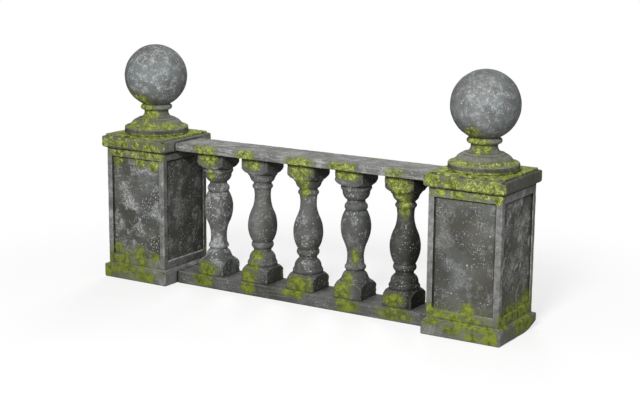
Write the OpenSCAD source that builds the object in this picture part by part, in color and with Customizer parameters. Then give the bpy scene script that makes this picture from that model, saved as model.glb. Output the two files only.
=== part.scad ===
// Garden balustrade section in moulded glass-fibre laminate with an aged-stone finish.
// Two hollow panelled piers with ball finials stand either side of five turned balusters
// between a base rail and a top rail. Millimetres, Z up, the front faces -Y. The origin is
// on the ground, midway between the piers and midway through their depth.

/* [Wall] */
// Distance between the piers' centre lines
pier_spacing = 1532; // [1500:1:2000]
// Height of the piers' flat cap tops above the ground
cap_top_z = 620; // [600:1:760]
// Thickness of the laminate in plinths, shaft panels and caps
laminate = 5; // [4:0.5:8]

/* [Shaft] */
// Width of the square pier shafts, front and side alike
shaft_w = 300; // [285:1:330]
// Width of the raised frame beside each recessed panel
stile_w = 25; // [18:1:40]
// Height of the raised frame over each recessed panel
frame_head = 36; // [24:1:60]
// Height of the raised frame under each recessed panel
frame_sill = 35; // [24:1:60]
// Depth of the recessed panels behind the frame
recess = 8; // [5:0.5:12]

/* [Plinth] */
// How far the plinths stand out from the shafts
plinth_out = 14; // [12:0.5:20]
// Height of the plinths' upright faces
plinth_face_h = 53; // [40:1:70]
// Radius of the rounded shoulder where the flare leaves the upright face
plinth_shoulder_r = 5; // [3:0.5:8]
// Radius of the rounded edge along the ground
plinth_toe_r = 6; // [3:0.5:8]
// How far the worn ground corner of the right pier reaches in along its diagonal
worn_reach = 100; // [40:1:120]
// How high that corner is worn away
worn_h = 30; // [15:1:40]

/* [Cap] */
// Height of the cap slabs
cap_h = 57; // [48:1:75]
// How far the caps overhang the shafts
cap_out = 16; // [14:0.5:24]
// How far in and how high the step is that ends the caps' flat tops
cap_step_in = 12; // [9:0.5:16]
cap_step_h = 8; // [5:0.5:12]
// Radius of the shoulder outside the step
cap_shoulder_r = 7; // [4:0.5:8]
// Radius of the caps' lower edge
cap_under_r = 11; // [4:0.5:13]

/* [Turning] */
// Step of the small quirks where one curve of a turned piece meets the next
quirk = 1; // [0.5:0.5:2]

/* [Finial] */
// Radius of the balls
ball_r = 131.5; // [110:0.5:150]
// Radius of the flat on which a ball stands
ball_seat_r = 35; // [25:1:42]
// Radius of the turned foot's upright edge
foot_r = 134.5; // [125:0.5:140]
// Height of that upright edge
foot_edge_h = 31; // [22:1:40]
// Radius of its rounded top and bottom arrises
foot_arris_r = 5; // [3:0.5:6]
// Radius and height of the cove at the foot of the cone
foot_cove_r = 106; // [100:1:112]
foot_cove_h = 12; // [8:1:20]
// Radius and height of the rounded cone over the cove
foot_cone_r = 80; // [75:1:90]
foot_cone_h = 18; // [12:1:30]
// Height of the fillet on top of the cone, and the step in behind it
foot_fillet_h = 4; // [2:0.5:8]
foot_step = 9; // [5:0.5:12]
// Radius of the neck and the height from the fillet up to it
foot_neck_r = 51; // [46:0.5:55]
foot_neck_h = 23; // [16:1:30]
// Outer radius and thickness of the collar under the ball
collar_r = 67; // [64:0.5:72]
collar_bead = 22; // [16:1:26]
// Height of the collar's middle above the neck
collar_rise = 22.5; // [18:0.5:30]
// Gap between the collar's rounded lip and the ball
collar_gap = 0.3; // [0.2:0.1:1]

/* [Rails] */
// Depth and height of the base rail, front to back
base_rail_d = 156; // [140:1:200]
base_rail_h = 52; // [40:1:60]
// Radius of the base rail's upper edges
base_rail_r = 7; // [3:0.5:10]
// Depth and thickness of the top rail
top_rail_d = 176; // [150:1:220]
top_rail_t = 32; // [26:1:40]
// How far the top rail lies below the caps' tops
top_rail_drop = 20; // [10:1:26]
// Radii of the top rail's upper and lower edges
top_rail_r = 8; // [3:0.5:12]
top_rail_under_r = 3; // [2:0.5:6]

/* [Balusters] */
// Distance between neighbouring balusters
baluster_pitch = 221.8; // [200:0.1:235]
// Side of the square blocks
block_w = 126; // [110:1:136]
// Height of the blocks at their corners
block_corner_h = 40; // [30:1:50]
// Height and radius at which the blocks' lathe-cut shoulders run out
shoulder_h = 66; // [56:1:76]
shoulder_r = 61; // [56:0.5:62.5]
// How far the shoulders bow out
shoulder_bow = 4.5; // [2:0.5:6]
// Height and root radius of the wide bead over the base block, and how far it bows out
torus_h = 20; // [14:1:26]
torus_root_r = 57; // [53:0.5:59]
torus_bow = 5.5; // [3:0.5:7]
// Height of the plain step over the wide bead
step_h = 4; // [2:0.5:8]
// Height of the rounded bell over the step, its foot radius, and how far it bows out
bell_h = 34; // [28:1:42]
bell_r = 55; // [52:0.5:57]
bell_bow = 5.5; // [2:0.5:8]
// Radius and height of the waist
waist_r = 36.5; // [33:0.5:40]
waist_h = 14; // [8:1:20]
// Height, root radius and bow of the knuckle
knuckle_h = 28; // [22:1:34]
knuckle_root_r = 40; // [38:0.5:43]
knuckle_bow = 6.5; // [4:0.5:9]
// Radius at the foot of the belly, at its widest, and the height between them
belly_foot_r = 43; // [40:0.5:48]
belly_r = 61; // [55:0.5:63]
belly_rise = 66; // [56:1:76]
// Radius of the neck and the height from it to the ring
neck_r = 33.5; // [30:0.5:35]
neck_h = 30; // [20:1:38]
// Radius under the ring, and the ring's height and bow
ring_root_r = 37; // [35:0.5:39]
ring_h = 20; // [14:1:24]
ring_bow = 6; // [3:0.5:8]
// Height of the cove over the ring, and radius of the fillet that ends it
cove_h = 12; // [8:1:16]
small_fillet_r = 46; // [42:0.5:48]
small_fillet_h = 4; // [2:0.5:6]
// Height of the cone under the upper block and its lower and upper radii
cone_h = 22; // [16:1:30]
cone_low_r = 48; // [47:0.5:50]
cone_high_r = 57; // [54:0.5:59]
// Height and radius of the fillet between the cone and the upper block
large_fillet_h = 6; // [3:0.5:9]
large_fillet_r = 60; // [58:0.5:60.5]

/* [Hidden] */
$fn = 96;
// What a cut runs past the faces that it opens
over = 1;
stone = "#5d605f";
dark_stone = "#4a4c4c";
pale_stone = "#767a78";
// Balusters that stand on their heads, counted from the left
inverted = [true, false, false, true, false];
shaft_hollow_w = shaft_w - 2 * laminate;
plinth_cove_r = plinth_out - plinth_shoulder_r;
plinth_h = plinth_face_h + plinth_shoulder_r + plinth_cove_r;
plinth_half = shaft_w / 2 + plinth_out;
cap_half = shaft_w / 2 + cap_out;
shaft_h = cap_top_z - cap_h - plinth_h;
base_rail_l = pier_spacing - 2 * plinth_half;
top_rail_l = pier_spacing - 2 * cap_half;
top_rail_z = cap_top_z - top_rail_drop - top_rail_t;
baluster_h = top_rail_z - base_rail_h;
// The collar's rounded lip hugs the ball, and the ball's seat is found from that
collar_mid_r = collar_r - collar_bead / 2;
collar_z = foot_edge_h + foot_cove_h + foot_cone_h + foot_fillet_h + foot_neck_h + collar_rise;
ball_reach = sqrt(pow(ball_r + collar_bead / 2 + collar_gap, 2) - pow(collar_mid_r, 2));
ball_over_seat = sqrt(ball_r * ball_r - ball_seat_r * ball_seat_r);
ball_z = collar_z + ball_reach;
seat_z = ball_z - ball_over_seat;

// Bow of an arc that spans rise and ends upright, after moving in by run
function upright_bow(run, rise) =
    let (r = (run * run + rise * rise) / (2 * run))
    r - sqrt(r * r - (run * run + rise * rise) / 4);

// Points along one length of a turned outline, from radius r0 at height z0 to radius r1 at height
// z1. The length bows out by bow, or in where bow is negative.
function band_points(z0, r0, z1, r1, bow) =
    let (
        chord = norm([r1 - r0, z1 - z0]),
        along = [r1 - r0, z1 - z0] / chord,
        outward = [along[1], -along[0]],
        middle = [r0 + r1, z0 + z1] / 2,
        spread = 2 * atan(2 * bow / chord),
        arc_r = bow == 0 ? 0 : chord / (2 * sin(spread)),
        steps = max(1, ceil(2 * abs(spread) * $fn / 360))
    )
    bow == 0 ? [[r0, z0], [r1, z1]] : [
        for (i = [0:steps]) let (a = spread * (2 * i / steps - 1))
            middle + arc_r * (sin(a) * along + (cos(a) - cos(spread)) * outward)
    ];

// Height of the foot of row i, above the first row's
function row_z(rows, i) = i == 0 ? 0 : row_z(rows, i - 1) + rows[i - 1][0];

// A turned outline through rows of [height of this length, radius at its foot, at its top, bow].
// A row that starts at the radius where the last one ended shares its point.
module turned_outline(rows) {
    bands = [for (i = [0:len(rows) - 1])
        band_points(row_z(rows, i), rows[i][1], row_z(rows, i + 1), rows[i][2], rows[i][3])];
    polygon([
        [0, 0],
        for (i = [0:len(rows) - 1]) let (shared = i > 0 && rows[i][1] == rows[i - 1][2])
            for (j = [shared ? 1 : 0 : len(bands[i]) - 1]) bands[i][j],
        [0, row_z(rows, len(rows))]
    ]);
}

// Half of a rectangular outline with rounded outer corners
module rounded_half(half, h, top_r, under_r) {
    square_h = h - top_r - under_r;
    square([half - max(top_r, under_r), h]);
    translate([0, under_r]) square([half, square_h]);
    translate([0, 0]) square([half - under_r, under_r]);
    translate([0, h - top_r]) square([half - top_r, top_r]);
    translate([half - under_r, under_r]) circle(under_r);
    translate([half - top_r, h - top_r]) circle(top_r);
}

// The half outline given, drawn on both sides of the centre line
module both_halves() {
    children();
    mirror([1, 0]) children();
}

// A square moulding with mitred corners, from its half outline
module square_moulding(span) {
    intersection() {
        rotate([90, 0, 0]) linear_extrude(span, center = true) both_halves() children();
        rotate([90, 0, 90]) linear_extrude(span, center = true) both_halves() children();
    }
}

module left() {
    translate([-pier_spacing / 2, 0, 0]) children();
}

module right() {
    translate([pier_spacing / 2, 0, 0]) children();
}

module plinth_half_outline() {
    difference() {
        square([shaft_w / 2 + plinth_cove_r, plinth_h]);
        translate([shaft_w / 2 + plinth_cove_r, plinth_h]) circle(plinth_cove_r);
    }
    rounded_half(plinth_half, plinth_face_h + plinth_shoulder_r, plinth_shoulder_r, plinth_toe_r);
}

module plinth() {
    color(dark_stone) difference() {
        square_moulding(2 * plinth_half + 2 * over) plinth_half_outline();
        translate([-shaft_hollow_w / 2, -shaft_hollow_w / 2, -over])
            cube([shaft_hollow_w, shaft_hollow_w, plinth_h + 2 * over]);
    }
}

// Ground corner of a plinth, worn to a curve that rises towards the corner
module worn_corner() {
    wear_r = (worn_reach * worn_reach + worn_h * worn_h) / (2 * worn_h);
    width = 2 * (worn_reach + 2 * over);
    translate([plinth_half, plinth_half, 0]) rotate(45) translate([-worn_reach, -width, -over])
        difference() {
            cube([worn_reach + 2 * over, 2 * width, worn_h + 2 * over]);
            translate([0, -over, wear_r + over]) rotate([-90, 0, 0]) cylinder(h = 2 * (width + over), r = wear_r);
        }
}

module worn_plinth() {
    color(dark_stone) difference() {
        plinth();
        worn_corner();
    }
}

// One side of a shaft: a framed face with a moulded recess, mitred to its neighbours
module shaft_panel(turn) {
    field_w = shaft_w - 2 * stile_w;
    field_h = shaft_h - frame_head - frame_sill;
    color(stone) rotate(turn) translate([0, 0, plinth_h]) difference() {
        union() {
            linear_extrude(shaft_h) polygon([
                [-shaft_w / 2, -shaft_w / 2], [shaft_w / 2, -shaft_w / 2],
                [shaft_hollow_w / 2, -shaft_hollow_w / 2], [-shaft_hollow_w / 2, -shaft_hollow_w / 2]
            ]);
            translate([-field_w / 2 - laminate, -shaft_w / 2 + over, frame_sill - laminate])
                cube([field_w + 2 * laminate, recess + laminate - over, field_h + 2 * laminate]);
        }
        translate([-field_w / 2, -shaft_w / 2 - over, frame_sill]) cube([field_w, recess + over, field_h]);
    }
}

// Half of the cap's outline, with the step round its flat top
module cap_half_outline() {
    rounded_half(cap_half, cap_h - cap_step_h, cap_shoulder_r, cap_under_r);
    square([cap_half - cap_step_in, cap_h]);
}

module cap() {
    color(stone) translate([0, 0, cap_top_z - cap_h]) difference() {
        square_moulding(2 * cap_half + 2 * over) cap_half_outline();
        translate([-shaft_hollow_w / 2, -shaft_hollow_w / 2, -over])
            cube([shaft_hollow_w, shaft_hollow_w, cap_h - laminate + over]);
    }
}

module finial_foot() {
    arris_bow = upright_bow(foot_arris_r, foot_arris_r);
    color(stone) translate([0, 0, cap_top_z]) rotate_extrude() {
        difference() {
            union() {
                turned_outline([
                    [foot_arris_r, foot_r - foot_arris_r, foot_r, arris_bow],
                    [foot_edge_h - 2 * foot_arris_r, foot_r, foot_r, 0],
                    [foot_arris_r, foot_r, foot_r - foot_arris_r, arris_bow],
                    [foot_cove_h, foot_r - foot_arris_r, foot_cove_r, -foot_cove_h / 6],
                    [foot_cone_h, foot_cove_r, foot_cone_r, foot_cone_h / 5],
                    [foot_fillet_h, foot_cone_r, foot_cone_r, 0],
                    [foot_neck_h, foot_cone_r - foot_step, foot_neck_r, -foot_neck_h / 5],
                    [collar_rise, foot_neck_r, collar_mid_r, -quirk]
                ]);
                translate([0, collar_z - collar_bead / 2]) square([collar_mid_r, collar_bead]);
            }
            translate([0, seat_z]) square([foot_r, ball_r]);
        }
        translate([collar_mid_r, collar_z]) circle(d = collar_bead);
    }
}

module ball() {
    color(pale_stone) translate([0, 0, cap_top_z + ball_z]) difference() {
        sphere(ball_r);
        translate([-ball_r, -ball_r, -2 * ball_r]) cube([2 * ball_r, 2 * ball_r, 2 * ball_r - ball_over_seat]);
    }
}

// A rail of length l, depth d and thickness t that lies on height z
module rail(l, d, t, z, top_r, under_r) {
    translate([0, 0, z]) rotate([90, 0, 90]) linear_extrude(l, center = true)
        both_halves() rounded_half(d / 2, t, top_r, under_r);
}

module base_rail() {
    color(dark_stone) rail(base_rail_l, base_rail_d, base_rail_h, 0, base_rail_r, over);
}

module top_rail() {
    color(stone) rail(top_rail_l, top_rail_d, top_rail_t, top_rail_z, top_rail_r, top_rail_under_r);
}

// A square block whose end is turned down on the lathe to a rounded shoulder
module shouldered_block() {
    corner_r = block_w / sqrt(2) + over;
    intersection() {
        translate([-block_w / 2, -block_w / 2, 0]) cube([block_w, block_w, shoulder_h]);
        rotate_extrude() turned_outline([
            [block_corner_h, corner_r, corner_r, 0],
            [shoulder_h - block_corner_h, corner_r, shoulder_r, shoulder_bow]
        ]);
    }
}

// The turned stem between the blocks. The long taper over the belly takes up what height is left.
module stem() {
    foot_h = torus_h + step_h + bell_h + waist_h + knuckle_h + belly_rise;
    head_h = neck_h + ring_h + cove_h + small_fillet_h + cone_h + large_fillet_h;
    taper_h = baluster_h - 2 * shoulder_h - foot_h - head_h;
    taper_bow = upright_bow((belly_r - neck_r) / 2, taper_h / 2);
    rotate_extrude() turned_outline([
        [torus_h, torus_root_r, torus_root_r, torus_bow],
        [step_h, torus_root_r, torus_root_r, 0],
        [bell_h, bell_r, waist_r + quirk, bell_bow],
        [waist_h, waist_r, knuckle_root_r - quirk, -quirk],
        [knuckle_h, knuckle_root_r, knuckle_root_r, knuckle_bow],
        [belly_rise, belly_foot_r, belly_r, upright_bow(belly_r - belly_foot_r, belly_rise)],
        [taper_h / 2, belly_r, (belly_r + neck_r) / 2, taper_bow],
        [taper_h / 2, (belly_r + neck_r) / 2, neck_r, -taper_bow],
        [neck_h, neck_r, ring_root_r, -upright_bow(ring_root_r - neck_r, neck_h)],
        [ring_h, ring_root_r, ring_root_r, ring_bow],
        [cove_h, ring_root_r - quirk, small_fillet_r - quirk, -cove_h / 6],
        [small_fillet_h, small_fillet_r, small_fillet_r, 0],
        [cone_h, cone_low_r, cone_high_r, 0],
        [large_fillet_h, large_fillet_r, large_fillet_r, 0]
    ]);
}

module upright_baluster() {
    shouldered_block();
    translate([0, 0, shoulder_h]) stem();
    translate([0, 0, baluster_h]) mirror([0, 0, 1]) shouldered_block();
}

module baluster(i) {
    color(dark_stone) translate([(i - 3) * baluster_pitch, 0, base_rail_h]) {
        if (inverted[i - 1]) {
            translate([0, 0, baluster_h]) rotate([180, 0, 0]) upright_baluster();
        } else {
            upright_baluster();
        }
    }
}

left() plinth();  // left_plinth
left() shaft_panel(0);  // left_front_panel
left() shaft_panel(180);  // left_back_panel
left() shaft_panel(-90);  // left_outer_panel
left() shaft_panel(90);  // left_inner_panel
left() cap();  // left_cap
left() finial_foot();  // left_finial_foot
left() ball();  // left_ball
right() worn_plinth();  // right_plinth
right() shaft_panel(0);  // right_front_panel
right() shaft_panel(180);  // right_back_panel
right() shaft_panel(90);  // right_outer_panel
right() shaft_panel(-90);  // right_inner_panel
right() cap();  // right_cap
right() finial_foot();  // right_finial_foot
right() ball();  // right_ball
base_rail();
top_rail();
baluster(1);  // baluster_1
baluster(2);  // baluster_2
baluster(3);  // baluster_3
baluster(4);  // baluster_4
baluster(5);  // baluster_5
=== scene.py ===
import math
from functools import partial
import bmesh
import bpy
import numpy as np
from mathutils import Matrix, Vector


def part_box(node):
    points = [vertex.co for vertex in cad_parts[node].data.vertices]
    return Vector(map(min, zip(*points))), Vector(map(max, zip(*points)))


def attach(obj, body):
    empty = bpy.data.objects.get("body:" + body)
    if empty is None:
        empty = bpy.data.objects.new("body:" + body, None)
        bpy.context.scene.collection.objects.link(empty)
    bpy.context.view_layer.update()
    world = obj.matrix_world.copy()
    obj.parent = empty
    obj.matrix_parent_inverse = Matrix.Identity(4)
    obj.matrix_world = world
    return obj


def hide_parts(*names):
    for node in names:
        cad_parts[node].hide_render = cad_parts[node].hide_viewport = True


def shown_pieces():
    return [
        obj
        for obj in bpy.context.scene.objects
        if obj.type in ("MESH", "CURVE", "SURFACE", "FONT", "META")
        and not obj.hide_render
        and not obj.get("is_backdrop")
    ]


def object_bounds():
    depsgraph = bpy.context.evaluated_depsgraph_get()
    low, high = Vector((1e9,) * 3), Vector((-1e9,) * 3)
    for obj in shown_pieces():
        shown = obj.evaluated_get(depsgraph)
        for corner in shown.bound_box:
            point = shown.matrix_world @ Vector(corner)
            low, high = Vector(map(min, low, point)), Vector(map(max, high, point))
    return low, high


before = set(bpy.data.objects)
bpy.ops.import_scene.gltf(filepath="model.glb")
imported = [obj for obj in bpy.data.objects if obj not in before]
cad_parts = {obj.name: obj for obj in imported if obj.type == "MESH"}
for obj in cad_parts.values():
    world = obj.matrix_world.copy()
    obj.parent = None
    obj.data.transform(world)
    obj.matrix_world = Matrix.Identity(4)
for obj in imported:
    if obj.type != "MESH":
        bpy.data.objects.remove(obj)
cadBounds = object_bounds()
mm = 0.001  # every size below that isn't in metres is written in millimetres times mm


# small helpers

def addNode(tree, kind, sockets=None, **settings):
    # Math stands for ShaderNodeMath, and so on; a node given to a socket gives it its first output
    node = tree.nodes.new(kind if "Node" in kind else "ShaderNode" + kind)
    for name, value in settings.items():
        setattr(node, name, value)
    for key, value in (sockets or {}).items():
        if isinstance(value, bpy.types.Node):
            value = value.outputs[0]
        if isinstance(value, bpy.types.NodeSocket):
            tree.links.new(value, node.inputs[key])
        else:
            node.inputs[key].default_value = value
    return node


def linearColour(hexValue):
    # sRGB hex to the linear RGBA that the nodes take
    parts = [int(hexValue[i:i + 2], 16) / 255 for i in (1, 3, 5)]
    return [c / 12.92 if c <= 0.04045 else ((c + 0.055) / 1.055) ** 2.4 for c in parts] + [1.0]


def newGeometryTree(name, inputs):
    # inputs is a list of (label, socket type); it gives what adds a node, the inputs, and what ends the tree
    tree = bpy.data.node_groups.new(name, "GeometryNodeTree")
    tree.is_modifier = True
    tree.interface.new_socket("Geometry", in_out="INPUT", socket_type="NodeSocketGeometry")
    for label, kind in inputs + [("Finish", "Material")]:
        tree.interface.new_socket(label, in_out="INPUT", socket_type="NodeSocket" + kind)
    tree.interface.new_socket("Geometry", in_out="OUTPUT", socket_type="NodeSocketGeometry")
    add = partial(addNode, tree)
    given = add("NodeGroupInput").outputs

    def close(geometry):
        whole = add("GeometryNodeRealizeInstances", {"Geometry": geometry})
        coloured = add("GeometryNodeSetMaterial", {"Geometry": whole, "Material": given["Finish"]})
        add("NodeGroupOutput", {"Geometry": coloured})
        return tree

    return add, given, close


def runTree(obj, tree, values):
    # sets the inputs by identifier, evaluates once and keeps the result as a plain mesh
    modifier = obj.modifiers.new(tree.name, "NODES")
    modifier.node_group = tree
    for item in tree.interface.items_tree:
        if item.in_out == "INPUT" and item.name in values:
            modifier[item.identifier] = values[item.name]
    bpy.context.view_layer.update()
    result = obj.evaluated_get(bpy.context.evaluated_depsgraph_get())
    mesh = bpy.data.meshes.new_from_object(result)
    obj.modifiers.remove(modifier)
    obj.data = mesh
    return obj


def newObject(name, mesh):
    obj = bpy.data.objects.new(name, mesh)
    bpy.context.scene.collection.objects.link(obj)
    return obj


def objectFromBmesh(name, bm):
    mesh = bpy.data.meshes.new(name)
    bm.to_mesh(mesh)
    bm.free()
    return newObject(name, mesh)


def gather(name, meshes):
    # several meshes in one object
    bm = bmesh.new()
    for mesh in meshes:
        bm.from_mesh(mesh)
    return objectFromBmesh(name, bm)


def readPoints(mesh):
    points = np.empty(len(mesh.vertices) * 3, np.float32)
    mesh.vertices.foreach_get("co", points)
    return points.reshape(-1, 3)


def writePoints(mesh, points):
    mesh.vertices.foreach_set("co", np.asarray(points, np.float32).ravel())
    mesh.update()


def handToNodes(holder):
    # for a new material or world: the function that adds a node to its emptied tree
    holder.use_nodes = True
    holder.node_tree.nodes.clear()
    return partial(addNode, holder.node_tree)


# camera, lights and floor

camera = {
    "place": (3.0115, -4.7667, 1.5823),  # metres
    "aim": (0.054, 0.0, 0.4206),
    "roll": 0.52,  # degrees
    "lens": 80.8,
    "farthest": 60.0,
}


def makeCamera():
    data = bpy.data.cameras.new("camera")
    data.lens = camera["lens"]
    data.clip_end = camera["farthest"]
    obj = newObject("camera", data)
    place, aim = Vector(camera["place"]), Vector(camera["aim"])
    turn = (aim - place).to_track_quat("-Z", "Y").to_matrix().to_4x4()
    roll = Matrix.Rotation(math.radians(camera["roll"]), 4, "Z")
    obj.matrix_world = Matrix.Translation(place) @ turn @ roll
    bpy.context.scene.camera = obj


lamps = {
    # name: azimuth from the front towards +X, elevation, distance, size in metres, and power
    "key": (20, 31, 5.0, 1.4, 268),
    "top": (-20, 80, 4.0, 2.5, 20),
    "side": (96, 12, 4.5, 1.6, 22),
    "back": (205, 34, 5.0, 2.0, 98),
}
lampsAim = Vector((0, 0, 0.45))
surround = {"lightOnObject": 0.16, "colour": "#f6f6f6", "backdrop": "#ffffff"}
floorDisc = {
    "radius": 9.0, "sides": 96,
    "plain": 0.8, "faded": 2.0,  # how far out it stays paper, and where only the backdrop is left
    "lift": 0.68,  # how far the paper near the object is already lifted towards the backdrop
    "colour": "#f7f7f6", "bounce": "#a4a4a2",
}


def makeLamps():
    for name, (azimuth, elevation, distance, size, power) in lamps.items():
        a, e = math.radians(azimuth), math.radians(elevation)
        towards = Vector((math.sin(a) * math.cos(e), -math.cos(a) * math.cos(e), math.sin(e)))
        data = bpy.data.lights.new(name, "AREA")
        data.shape = "DISK"
        data.size = size
        data.energy = power
        obj = newObject(name, data)
        obj.location = lampsAim + towards * distance
        obj.rotation_euler = towards.to_track_quat("Z", "Y").to_euler()


def anyRay(add, *kinds):
    # 1 for a ray of any of these kinds
    path = add("LightPath").outputs
    found = path[kinds[0]]
    for kind in kinds[1:]:
        found = add("Math", {0: found, 1: path[kind]}, operation="MAXIMUM").outputs[0]
    return found


def makeWorld():
    # seen directly or in a gloss it is the white backdrop, and otherwise a soft even light
    world = bpy.data.worlds.new("studio")
    bpy.context.scene.world = world
    add = handToNodes(world)
    seen = anyRay(add, "Is Camera Ray", "Is Glossy Ray", "Is Transmission Ray")
    light = add("Background", {
        "Color": linearColour(surround["colour"]), "Strength": surround["lightOnObject"]})
    backdrop = add("Background", {"Color": linearColour(surround["backdrop"])})
    mixed = add("MixShader", {0: seen, 1: light, 2: backdrop})
    add("OutputWorld", {"Surface": mixed})


def makeFloor():
    bm = bmesh.new()
    bmesh.ops.create_circle(bm, cap_ends=True, segments=floorDisc["sides"], radius=floorDisc["radius"])
    floor = objectFromBmesh("floor", bm)
    # matt pale paper that runs out into the white backdrop away from the object
    material = bpy.data.materials.new("seamlessPaper")
    add = handToNodes(material)
    place = add("TexCoord").outputs["Object"]
    reach = add("VectorMath", {0: place}, operation="LENGTH").outputs["Value"]
    fade = add("MapRange", {
        0: reach, 1: floorDisc["plain"], 2: floorDisc["faded"], 3: floorDisc["lift"], 4: 1.0},
        interpolation_type="SMOOTHSTEP")
    white = add("Emission", {"Color": linearColour(surround["backdrop"])})
    seen = anyRay(add, "Is Camera Ray", "Is Glossy Ray")
    shown = add("Mix", {
        0: seen, 6: linearColour(floorDisc["bounce"]), 7: linearColour(floorDisc["colour"])},
        data_type="RGBA").outputs[2]
    paper = add("BsdfDiffuse", {"Color": shown})
    faded = add("Math", {0: fade, 1: seen}, operation="MULTIPLY")
    mixed = add("MixShader", {0: faded, 1: paper, 2: white})
    add("OutputMaterial", {"Surface": mixed})
    floor.data.materials.append(material)
    floor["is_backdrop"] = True


makeCamera()
makeLamps()
makeWorld()
makeFloor()
bpy.context.scene.view_settings.view_transform = "Standard"
print("camera, lamps and floor made")


# moss: one pattern shared by the paint and by the flock that stands on it

moss = {
    "clumpSize": 24 * mm, "clumpSway": 1.8,
    "grainSize": 8 * mm, "grainSway": 1.6,
    "fullSway": 0.35,  # the cover from which the sway is whole
    "bareBelow": 0.38, "fullAbove": 0.95,
    "stainBelow": -0.06, "stainAbove": 0.42,
}


def mossField(add, place, cover):
    # how far the moss has taken hold: its cover, broken up by clumps and grains
    clumps, grains = [add("TexNoise", {
        "Vector": place, "Scale": 1 / moss[size], "Detail": 2.0}) for size in ("clumpSize", "grainSize")]
    sway = add("Math", {0: clumps, 1: moss["clumpSway"], 2: -moss["clumpSway"] / 2}, operation="MULTIPLY_ADD")
    sway = add("Math", {0: grains, 1: moss["grainSway"], 2: sway}, operation="MULTIPLY_ADD")
    sway = add("Math", {0: sway, 1: moss["grainSway"] / 2}, operation="SUBTRACT")
    # away from the patches the sway has nothing to break up
    hold = add("MapRange", {0: cover, 2: moss["fullSway"]})
    sway = add("Math", {0: sway, 1: hold}, operation="MULTIPLY")
    return add("Math", {0: cover, 1: sway}, operation="ADD").outputs[0]


# materials

pierStone = {
    # glass-fibre laminate, moulded and painted: smoky greys, sponged over in paler patches, then spattered
    "dark": "#444443", "middle": "#5f5f5e", "pale": "#b0b1b1", "speck": "#eff0f0",
    "brown": "#504d45", "blue": "#6a6f72", "edge": "#bcbdbb", "grime": "#151616",
    "cloudSize": 120 * mm, "patchSize": 80 * mm, "stippleSize": 8 * mm, "speckSize": 6.5 * mm,
    "dotSize": 30 * mm, "smearSize": 70 * mm, "skipSize": 12 * mm, "wornSize": 4 * mm, "streakBrown": 0.4,
    "patchShare": 0.95, "speckShare": 0.85, "dotShare": 0.2, "edgeShare": 0.85,
    "shadeAndGrimeShare": 0.9,
}
capStone = dict(pierStone, dark="#4b4b45", middle="#64645d", pale="#9b9c94", edge="#b9bab1", patchShare=0.7)
ballStone = dict(
    pierStone, dark="#5f6163", middle="#767879", pale="#b4b8ba", brown="#6b6562", blue="#7d8689",
    cloudSize=70 * mm, patchSize=28 * mm, patchShare=0.78, edge="#9ea3a3", dotShare=0.0)
# paler than the piers' laminate, partly as painted light that stands in for the light on the rails' tops
railStone = dict(
    pierStone, dark="#5a5a59", middle="#747473", pale="#b1b1b0", edge="#c4c4c3",
    brushSize=(110 * mm, 6 * mm, 8 * mm))
balusterStone = dict(
    pierStone, dark="#4f4f4f", middle="#656565", pale="#a2a4a5", patchSize=50 * mm, speckSize=8 * mm,
    speckShare=1.0, dotShare=0.0, edgeShare=0.3)

layers = {
    # which size of the look, times what; detail and roughness of the noise; the levels where it starts
    # and is full; least and greatest share
    "clouds": ("cloudSize", 1.0, 3.0, 0.5, 0.38, 0.62, 0.0, 1.0),
    "brownTint": ("cloudSize", 1.3, 2.0, 0.5, 0.48, 0.36, 0.0, 0.4),
    "blueTint": ("cloudSize", 1.3, 2.0, 0.5, 0.52, 0.66, 0.0, 0.5),
    "patches": ("patchSize", 1.0, 8.0, 0.68, 0.495, 0.575, 0.0, 1.0),
    "stipple": ("stippleSize", 1.0, 4.0, 0.7, 0.42, 0.58, 0.12, 1.0),
    "rubAndHighlight": ("patchSize", 0.3, 8.0, 0.7, 0.41, 0.59, 0.3, 0.85),
    "crowds": ("patchSize", 0.7, 5.0, 0.6, 0.49, 0.57, 0.05, 1.0),
    "smeared": ("smearSize", 1.0, 4.0, 0.6, 0.47, 0.58, 0.0, 1.0),
    "skips": ("skipSize", 1.0, 3.0, 0.6, 0.38, 0.58, 0.2, 1.0),
    "worn": ("wornSize", 1.0, 3.0, 0.6, 0.38, 0.58, 0.45, 1.0),
}
ramps = {
    # the levels between which a noted value works, and what it gives at each
    "framed": (0.3, 1.0, 0.5, 0.0), "clear": (0.0, 1.0, 1.0, 0.45), "thrown": (0.2, 1.0, 0.4, 1.0),
    "brushed": (0.4, 0.9, 0.15, 0.55), "roughness": (0.0, 1.0, 0.80, 0.92),
}
brushMarks = {
    # size along each axis, slant in degrees, and the levels where a mark starts and is full
    "side": ((40 * mm, 30 * mm, 60 * mm), -32, 0.53, 0.62),
    "rail": (railStone["brushSize"], 0, 0.50, 0.64),
}
spatters = {"speck": (0.42, 0.7), "dotWidth": 0.12}  # widest radius in a cell, share of cells with a drop

mossPaint = {
    # nylon flock in yellow-green over an olive wash: velvety, with no gloss
    "deep": "#4d560e", "middle": "#808d18", "bright": "#c8cf78", "stain": "#5f6346", "stainShare": 0.75,
    "toneSize": 22 * mm, "toneBand": (0.36, 0.58), "dustSize": 6 * mm, "dustBand": (0.44, 0.62),
    "dustTop": 0.55,  # the height in metres at which the dust is thickest
}


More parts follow.
